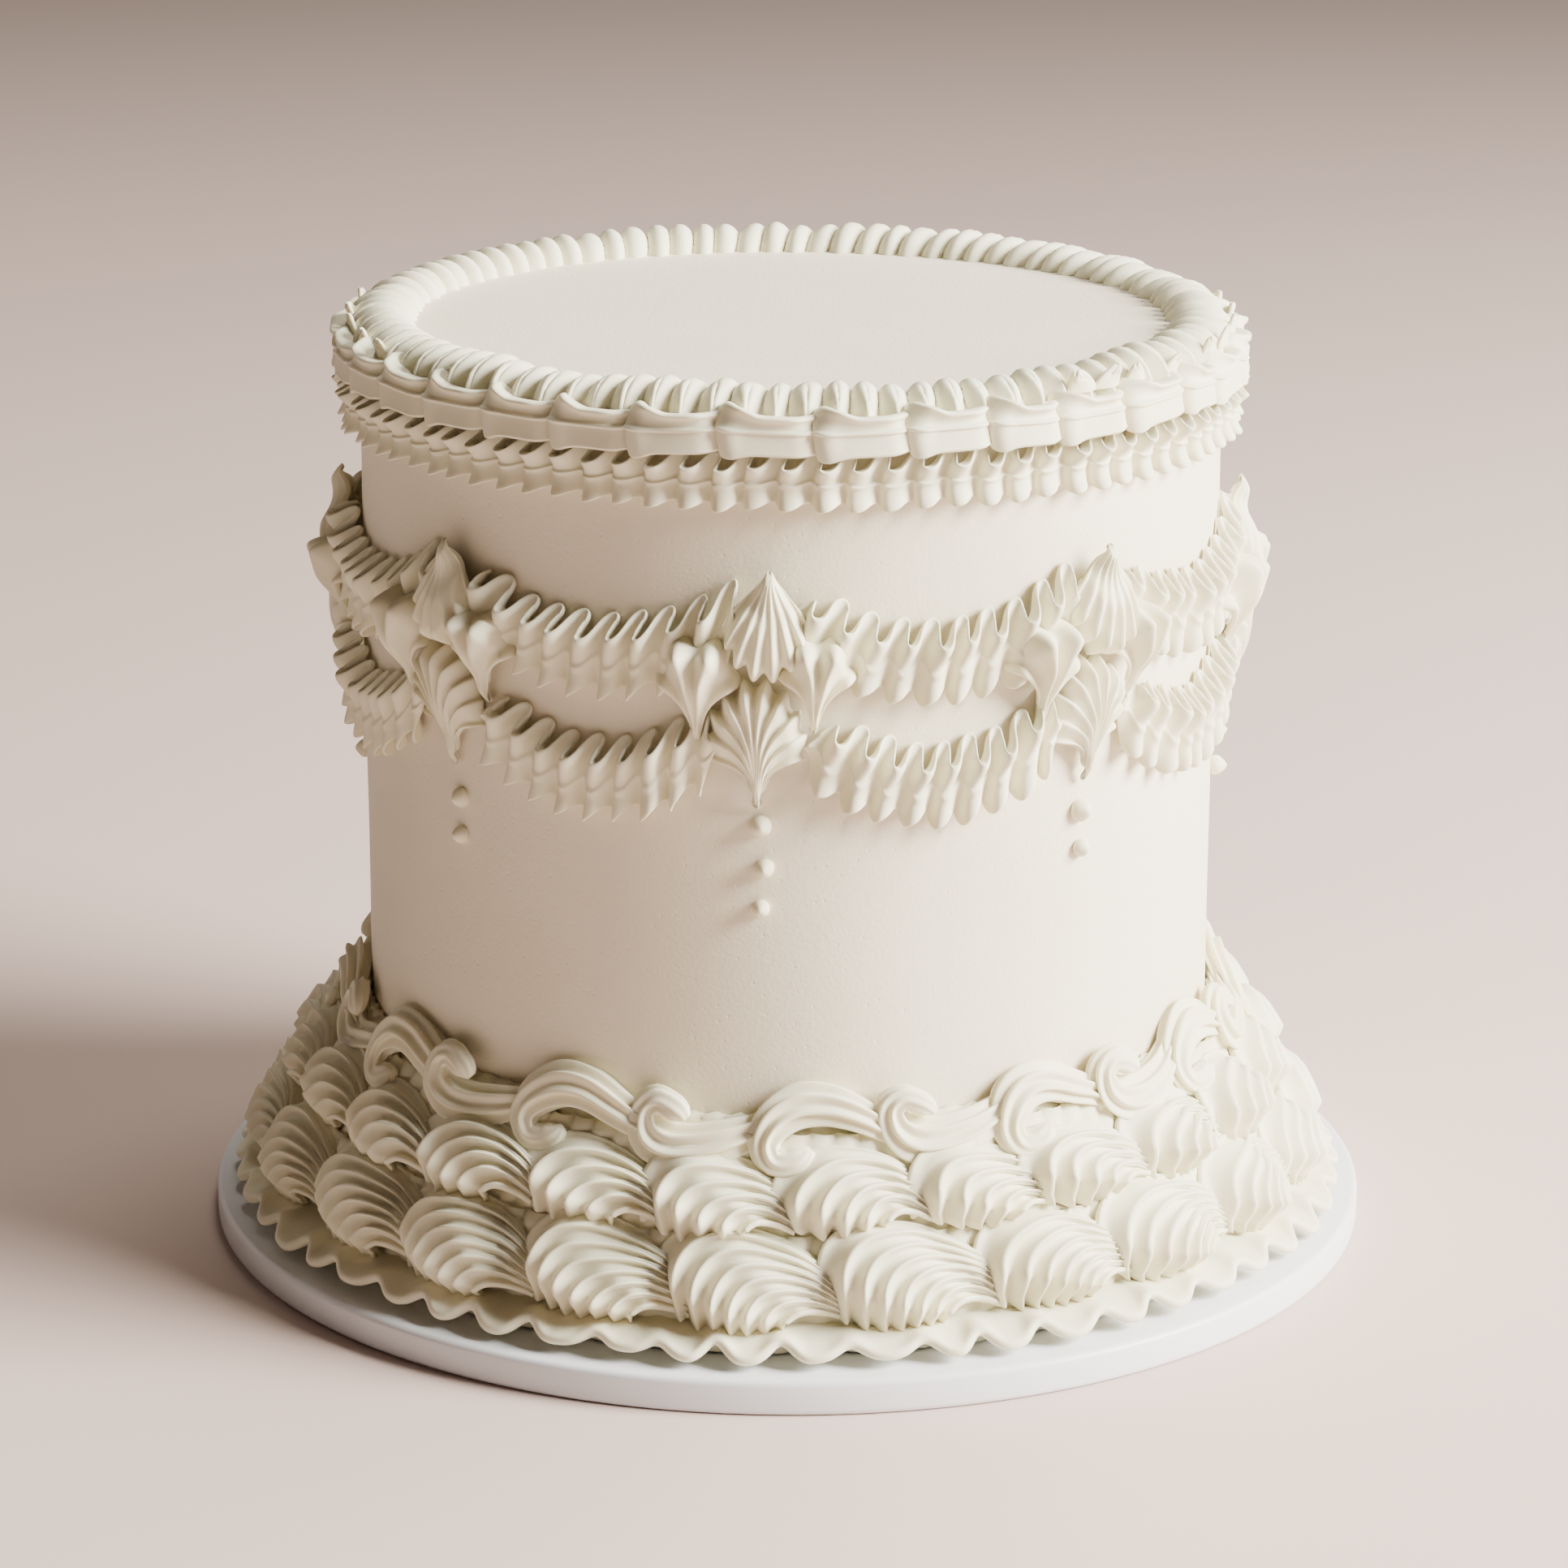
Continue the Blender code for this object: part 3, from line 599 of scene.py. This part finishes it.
def make_swag(name, start, end, end_height, mid_height, loops, seed):
    """A ruffle that sags between two ornaments: round loops above, wide folds with a stepped edge below."""
    half = (end - start) / 2
    middle = (end + start) / 2
    pitch = 2.0 * half * CAKE_RADIUS / loops

    def laid(along, across):
        turn = tau * (loops * along + 0.25) + wander(along, loops, seed, 0.40)
        inside = ease(across, 1.0, 1.2)
        across = np.minimum(across, 1.0)
        upper = ease(across, 0.48, 1.0)
        lower = 1.0 - ease(across, 0.0, 0.42)
        turn = turn + (0.14 * upper - 0.55 * lower) * np.sin(turn)
        front = (1.0 + np.cos(turn)) / 2
        ends = 0.35 + 0.65 * ease(np.minimum(along, 1.0 - along), 0.0, 0.6 / loops)
        slide = 0.34 * upper - 0.10 * lower
        slide = slide + (0.02 + 0.05 * upper - 0.02 * lower) * np.sin(2.0 * turn)
        slide = slide - (0.07 + 0.13 * upper) * np.cos(turn)
        deep = 0.0016 + 0.0032 * upper + 0.0015 * lower
        deep = deep * (1.0 + wander(along, loops, seed + 1, 0.18))
        run = 2.0 * along - 1.0
        rise = end_height - mid_height
        slope = 0.75 * np.arctan(2.0 * rise * run / (half * CAKE_RADIUS))
        radius = CAKE_RADIUS + RIBBON_SEAT + deep * front * ends + vein(across, VEIN_HEIGHT)
        radius = radius + 0.0011 * (1.0 - upper) * (1.0 - lower)
        radius = CAKE_RADIUS + (radius - CAKE_RADIUS) * (1.0 - 0.60 * inside)
        reach = 0.0056 * ends * (2.0 * across - 1.0) * (1.0 + wander(along, loops, seed + 2, 0.08))
        reach = reach - (0.0021 + 0.0019 * upper - 0.0013 * lower) * (front - 0.5) - 0.0006 * inside
        reach = reach + 0.0012 * lower * np.sin(turn)
        step = slide * pitch
        angle = middle + half * run + (step - 0.25 * reach * np.sin(slope)) / CAKE_RADIUS
        height = mid_height + rise * run ** 2 + reach + step * np.sin(slope)
        return ring(angle, radius, height)

    return lay_sheet(name, loops * 14, RUFFLE_LINES, laid, 0.00055)


def make_swags():
    """Two tiers: the height of their ends and middle, their gap to the ornament and their loops."""
    tiers = (("swag_upper", 0.1246, 0.1171, radians(2.5), 10),
             ("swag_lower", 0.1044, 0.0967, radians(5.5), 9))
    for tier, end_height, mid_height, offset, loops in tiers:
        for k in range(ORNAMENTS):
            name = f"{tier}_{k}"
            start = ornament_angle(k) + offset
            end = ornament_angle(k + 1) - offset
            swag = make_swag(name, start, end, end_height, mid_height, loops, 31 * k + loops)
            hand_over(swag, PIPED, "piped_icing", name)


# Ornaments

def make_fan(name, tip, aim, length, spread, ribs, bow, side_length, lift, curl, depth, cut, blunt):
    """A fan of piped ribs from a pointed tip to rounded lobes.

    tip is (run, rise) from the ornament's middle, aim the direction of the middle rib
    (0 up, positive to the right) and spread the angle of the outer ribs to it. bow opens the
    fan along its length, curl turns its outer ribs' ends and lift raises its tip. side_length
    is how much shorter the outer ribs are, depth the height of its dome, cut the depth of the
    grooves and blunt how far from the tip it begins.
    """
    def laid(along, across):
        side = 2.0 * across - 1.0
        lane = across * ribs
        crest = np.abs(np.cos(pi * lane)) ** (1.7 * cut)
        reach = length * (1.0 - side_length * np.abs(side) ** 1.6) * (0.91 + 0.10 * crest)
        opened = spread * side * (0.6 + 0.4 * np.sqrt(along + 0.0001)) * (1.0 + bow * (along - 0.6))
        far = reach * (blunt + (1.0 - blunt) * along)
        bend = curl * side * np.clip(along - 0.45, 0.0, 1.0) ** 1.5
        heading = aim + opened + bend
        run = tip[0] + far * np.sin(heading)
        rise = tip[1] + far * np.cos(heading)
        swell = follow(along, (0.0, 0.15, 0.62, 0.90, 1.0), (0.06, 0.42, 0.95, 1.0, 0.12))
        dome = (1.0 - 0.62 * np.abs(side) ** 2.2) * swell
        groove = 0.0165 * cut / ribs * (crest - 0.5) * along ** 1.3 * (1.0 - 0.75 * ease(along, 0.85, 1.0))
        standing = lift * (1.0 - ease(along, 0.0, 0.45))
        out = depth * dome + groove + standing
        return ring(run / CAKE_RADIUS, CAKE_RADIUS + 0.0006 + out, ORNAMENT_HEIGHT + rise)

    return lay_sheet(name, 16, ribs * 7, laid, 0.0009, inward=-1.0)


def make_ornaments():
    """Upper and lower fans, open end to open end, with a smaller fan at each side."""
    lower = make_fan("lower_fan", tip=(-0.0007, -0.0228), aim=radians(-1.0), length=0.0232,
                     spread=radians(15.0), ribs=9, bow=0.2, side_length=0.50, lift=0.0003,
                     curl=1.1, depth=0.0056, cut=1.1, blunt=0.04)
    left = make_fan("left_fan", tip=(-0.0102, -0.0134), aim=radians(1.0), length=0.0212,
                    spread=radians(16.0), ribs=3, bow=0.2, side_length=0.34, lift=0.0004,
                    curl=0.6, depth=0.0074, cut=0.90, blunt=0.10)
    right = make_fan("right_fan", tip=(0.0080, -0.0112), aim=radians(2.0), length=0.0192,
                     spread=radians(16.0), ribs=3, bow=0.2, side_length=0.32, lift=0.0004,
                     curl=0.6, depth=0.0074, cut=0.90, blunt=0.10)
    upper = make_fan("upper_fan", tip=(0.0013, 0.0186), aim=radians(183.0), length=0.0200,
                     spread=radians(40.0), ribs=7, bow=0.3, side_length=0.34, lift=0.0030,
                     curl=-0.50, depth=0.0066, cut=1.0, blunt=0.05)
    first = join([lower, left, right, upper], "ornament")
    shape = points_of(first)
    for k in range(ORNAMENTS):
        made = copy_of(first, f"ornament_piped_{k}")
        points = shape if k == 0 else roughen(shape, 0.012, 0.0009, 40 + k)
        set_points(made, turn_round(points, ornament_angle(k)))
        hand_over(made, PIPED, "piped_icing", f"ornament_{k}")
    bpy.data.objects.remove(first, do_unlink=True)


# Scrolls

# Middle line of each scroll in millimetres (run, rise, half width), tail first
SCROLL_UP = ((25.0, 7.8, 1.9), (20.5, 5.8, 2.5), (15.6, 4.4, 3.0), (10.6, 3.4, 3.3), (6.2, 3.7, 3.4),
             (3.3, 5.9, 3.1), (2.9, 9.0, 2.5), (5.0, 10.6, 2.3), (7.6, 9.8, 2.2), (9.2, 8.6, 2.0),
             (9.6, 7.6, 1.8))
SCROLL_DOWN = ((30.0, 2.8, 1.0), (23.6, 5.2, 2.1), (18.2, 7.9, 2.8), (12.9, 10.1, 3.3), (8.2, 10.2, 3.5),
               (4.4, 8.0, 3.2), (2.9, 4.8, 2.6), (4.2, 2.0, 2.4), (7.0, 1.9, 2.3), (9.4, 3.4, 2.1),
               (9.8, 4.6, 1.8))
SCROLL_FOOT = 0.0337


def smooth_route(stops, count):
    """Points evenly spread along a smooth line through the stops."""
    stops = np.array(stops)
    steps = np.linspace(0.0, 1.0, 12, endpoint=False)
    line = []
    for n in range(len(stops) - 1):
        before, here, there, after = (stops[min(max(n + k, 0), len(stops) - 1)] for k in (-1, 0, 1, 2))
        for s in steps:
            line.append(0.5 * (2 * here + (there - before) * s
                               + (2 * before - 5 * here + 4 * there - after) * s ** 2
                               + (3 * here - before - 3 * there + after) * s ** 3))
    line.append(stops[-1])
    line = np.array(line)
    lengths = np.concatenate([[0.0], np.cumsum(np.hypot(*np.diff(line[:, :2], axis=0).T))])
    wanted = np.linspace(0.0, lengths[-1], count)
    return np.stack([np.interp(wanted, lengths, line[:, n]) for n in range(line.shape[1])], axis=-1)


def make_scroll(name, stops):
    """A star-tip rope drawn along the scroll's middle line, with eight deep ridges."""
    count = 54
    route = smooth_route(stops, count + 1) * 0.001
    heading = np.gradient(route[:, :2], axis=0)
    heading /= np.linalg.norm(heading, axis=1)[:, None]
    ridges = 8

    def laid(along, turn):
        spot = along * count
        line = [np.interp(spot, np.arange(count + 1), route[:, n]) for n in range(3)]
        ahead = [np.interp(spot, np.arange(count + 1), heading[:, n]) for n in range(2)]
        ends = np.sqrt(np.clip(1.0 - np.clip((along - 0.92) / 0.08, 0.0, 1.0) ** 2, 0.0, 1.0))
        ends = ends * ease(along, -0.01, 0.03)
        cut = 1.0 - 0.75 * ease(along, 0.72, 0.88)
        star = 0.70 + 0.22 * (1.0 - cut) + 0.40 * cut * np.abs(np.cos(ridges / 2 * turn + 0.35)) ** 2.4
        half = line[2] * star * ends
        sideways = half * np.cos(turn)
        out = 0.86 * half * np.sin(turn)
        run = line[0] - ahead[1] * sideways
        rise = line[1] + ahead[0] * sideways
        curl = ease(along, 0.55, 1.0)
        rest = 0.0034 + 0.0018 * curl - 0.30 * (rise - 0.0066)
        radius = CAKE_RADIUS + rest + out - 0.0012 * (1.0 - ease(along, 0.0, 0.3))
        return ring(run / CAKE_RADIUS, radius, SCROLL_FOOT + rise)

    return lay_rope(name, ridges * 8, count, laid)


def make_scrolls():
    """A chain of scrolls that curl up and down by turns, each tail under the next head."""
    kinds = (make_scroll("scroll_up", SCROLL_UP), make_scroll("scroll_down", SCROLL_DOWN))
    shapes = [points_of(kind) for kind in kinds]
    pitch = pi / SCROLL_PAIRS
    made = []
    for k in range(2 * SCROLL_PAIRS):
        scroll = copy_of(kinds[k % 2], "scroll")
        swing = np.random.default_rng(70 + k).uniform(-1.0, 1.0, 3)
        points = roughen(shapes[k % 2], 0.012, 0.0009, 70 + k)
        points = points + np.array([0.0, 0.0, 0.0004 * swing[1]])
        set_points(scroll, turn_round(points, SCROLL_FIRST + k * pitch + 0.008 * swing[0]))
        made.append(scroll)
    for kind in kinds:
        bpy.data.objects.remove(kind, do_unlink=True)
    return hand_over(join(made, "scrolls"), PIPED, "piped_icing", "scroll_row")


# Shells

def bezier(corners, share):
    """Point on a cubic curve whose four corners are arrays of the same shape as share."""
    left = 1.0 - share
    return (left ** 3 * corners[0] + 3 * left ** 2 * share * corners[1]
            + 3 * left * share ** 2 * corners[2] + share ** 3 * corners[3])


def make_shell(name, length, ribs, radius, height, tilt, dome):
    """A piped shell: ribs fan out from the tail at the right, arch over and end in lobes at the left."""
    outer = ((0.62, -0.02), (0.30, 0.42), (-0.72, 0.50), (-0.47, -0.22))
    inner = ((0.62, -0.24), (0.46, -0.18), (0.30, -0.16), (0.27, -0.33))

    def laid(along, across):
        lane = across * ribs
        sharp = 2.4 - 1.9 * ease(along, 0.60, 1.0)
        crest = np.abs(np.cos(pi * (lane + 0.10 * np.sin(tau * lane)))) ** sharp
        spaced = across ** 0.9
        corners = [[outer[n][axis] * (1.0 - spaced) + inner[n][axis] * spaced for n in range(4)]
                   for axis in range(2)]
        far_along = along * (0.955 + 0.045 * crest)
        run = length * bezier(corners[0], far_along)
        rise = length * (bezier(corners[1], far_along) - 0.09 * np.sin(pi * spaced) * along ** 2)
        belly = np.sin(pi * (0.10 + 0.74 * across)) ** 0.7
        swell = follow(along, (0.0, 0.25, 0.62, 0.88, 1.0), (0.30, 0.52, 1.0, 0.98, 0.10))
        width = follow(along, (0.0, 0.5, 0.9, 1.0), (0.30, 0.80, 1.20, 0.9))
        ridge = 0.50 * length / ribs * (crest - 0.5) * width
        rim = ease(across, 0.0, 0.10)
        out = dome * swell * belly * (0.35 + 0.65 * rim) + ridge * (0.5 + 0.5 * rim)
        far = radius + out * cos(tilt) - rise * sin(tilt)
        up = height + out * sin(tilt) + rise * cos(tilt)
        return ring(run / radius, far, up)

    return lay_sheet(name, 26, ribs * 9, laid, 0.0009, rounds=0, inward=-1.0)


def make_shell_row(name, node, count, first, shell, seed):
    """Copies of one shell all round, each a little different."""
    shape = points_of(shell)
    made = []
    for k in range(count):
        piece = copy_of(shell, "shell")
        swing = np.random.default_rng(seed + k).uniform(-1.0, 1.0, 3)
        points = roughen(shape, 0.014, 0.0013, seed + k)
        points = points + np.array([0.0, 0.0, 0.0004 * swing[1]])
        set_points(piece, turn_round(points, first + tau * k / count + 0.014 * swing[0]))
        made.append(piece)
    bpy.data.objects.remove(shell, do_unlink=True)
    return hand_over(join(made, name), PIPED, "piped_icing", node)


def make_shell_bed(name, node, low, high, slant):
    """The ribbed layer in the gaps of a row, between two rings given as (radius, height)."""
    strokes = 120

    def laid(along, across):
        stroke = np.abs(np.sin(pi * (strokes * along + slant * across)))
        radius = low[0] + (high[0] - low[0]) * across + 0.0009 * stroke
        height = low[1] + (high[1] - low[1]) * across
        return ring(tau * along, radius, height)

    bed = lay_sheet(name, strokes * 5, 8, laid, 0.0010, rounds=0, closed=True)
    return hand_over(bed, PIPED, "piped_icing", node)


def make_shells():
    """Two rows of shells, and the ribbed icing that they and the scrolls lie on."""
    middle = make_shell("middle_shell", length=tau * 0.0866 / MIDDLE_SHELLS, ribs=5, radius=0.0822,
                        height=0.0308, tilt=radians(30), dome=0.0046)
    make_shell_row("middle_shells", "shell_row_middle", MIDDLE_SHELLS,
                   radians(-0.5) + 0.40 * tau / MIDDLE_SHELLS, middle, 100)
    lower = make_shell("lower_shell", length=tau * 0.0925 / LOWER_SHELLS, ribs=7, radius=0.0880,
                       height=0.0185, tilt=radians(24), dome=0.0060)
    make_shell_row("lower_shells", "shell_row_lower", LOWER_SHELLS,
                   radians(4.8) + 0.40 * tau / LOWER_SHELLS, lower, 200)
    make_shell_bed("scroll_bed", "scroll_row", low=(0.0790, 0.0335), high=(0.0738, 0.0412), slant=3.0)
    make_shell_bed("middle_bed", "shell_row_middle", low=(0.0850, 0.0220), high=(0.0768, 0.0390), slant=6.0)
    make_shell_bed("lower_bed", "shell_row_lower", low=(0.0905, 0.0065), high=(0.0850, 0.0245), slant=6.0)


def make_hem():
    """The soft wavy lip that lies on the board."""
    def laid(along, across):
        turn = tau * HEM_WAVES * along + wander(along, HEM_WAVES, 41, 0.6)
        size = 1.0 + wander(along, HEM_WAVES, 43, 0.35)
        wave = np.cos(turn + 0.60 * np.sin(turn)) * size + 0.15 * wander(along, 2 * HEM_WAVES, 47, 1.0)
        open_edge = ease(across, 0.15, 1.0)
        radius = 0.0880 + 0.0098 * across - 0.0012 * wave * open_edge
        height = CAKE_FOOT + 0.0048 - 0.0016 * across + 0.0012 * wave * open_edge
        lean = 0.02 * np.sin(turn) * open_edge * tau / HEM_WAVES
        return ring(tau * along + lean, radius, height)

    hem = lay_sheet("base_hem", HEM_WAVES * 9, 7, laid, 0.0018, closed=True)
    return hand_over(hem, PIPED, "piped_icing", "base_ruffle")


# Floor, light and camera

def make_stage():
    """A plain floor, far wider than the view."""
    pick_none()
    bpy.ops.mesh.primitive_plane_add(size=FLOOR_SIDE, location=(0.0, 0.0, 0.0))
    floor = bpy.context.object
    floor.name = "floor"
    floor.data.materials.append(plain_material("pale_floor", (0.66, 0.52, 0.47), 0.55)[0])


def area_light(name, place, target, size, power, colour):
    """A round soft lamp that looks at its target."""
    lamp = bpy.data.lights.new(name, "AREA")
    lamp.shape = "DISK"
    lamp.size = size
    lamp.energy = power
    lamp.color = colour
    made = bpy.data.objects.new(name, lamp)
    made.location = place
    made.rotation_euler = (Vector(target) - Vector(place)).to_track_quat("-Z", "Y").to_euler()
    bpy.context.scene.collection.objects.link(made)
    return made


def make_light():
    """A strong soft light from the right, and weak warm fill from elsewhere."""
    aim = (0.0, 0.0, 0.08)
    area_light("window", place=(1.235, -0.300, 0.74), target=aim, size=0.80, power=126.0,
               colour=(1.0, 0.965, 0.89))
    area_light("far_wall", place=(-1.1, 0.9, 0.5), target=aim, size=0.90, power=2.0,
               colour=(1.0, 0.86, 0.74))
    area_light("sky", place=(0.3, 0.5, 1.5), target=aim, size=0.8, power=14.0,
               colour=(1.0, 0.93, 0.84))
    world = bpy.data.worlds.new("room")
    world.use_nodes = True
    surroundings = world.node_tree.nodes["Background"]
    surroundings.inputs["Color"].default_value = (1.0, 0.74, 0.55, 1.0)
    surroundings.inputs["Strength"].default_value = 0.047
    bpy.context.scene.world = world


def make_camera():
    """Long lens, a little above the cake and turned very slightly about its axis of view."""
    lens = bpy.data.cameras.new("camera")
    lens.lens = CAMERA_LENS
    lens.sensor_width = CAMERA_SENSOR
    lens.clip_start = 0.01
    made = bpy.data.objects.new("camera", lens)
    down = CAMERA_DOWN
    roll = CAMERA_ROLL
    ahead = Vector((0.0, cos(down), -sin(down)))
    level = Vector((1.0, 0.0, 0.0))
    above = Vector((0.0, sin(down), cos(down)))
    right = level * cos(roll) + above * sin(roll)
    up = above * cos(roll) - level * sin(roll)
    turned = Matrix((right, up, -ahead)).transposed().to_4x4()
    turned.translation = Vector(CAMERA_PLACE)
    made.matrix_world = turned
    bpy.context.scene.collection.objects.link(made)
    bpy.context.scene.camera = made


make_board()
make_body()
make_pearls()
make_crown_rope()
make_curls()
make_crown_band()
make_frill()
make_swags()
make_ornaments()
make_scrolls()
make_shells()
make_hem()
make_stage()
make_light()
make_camera()
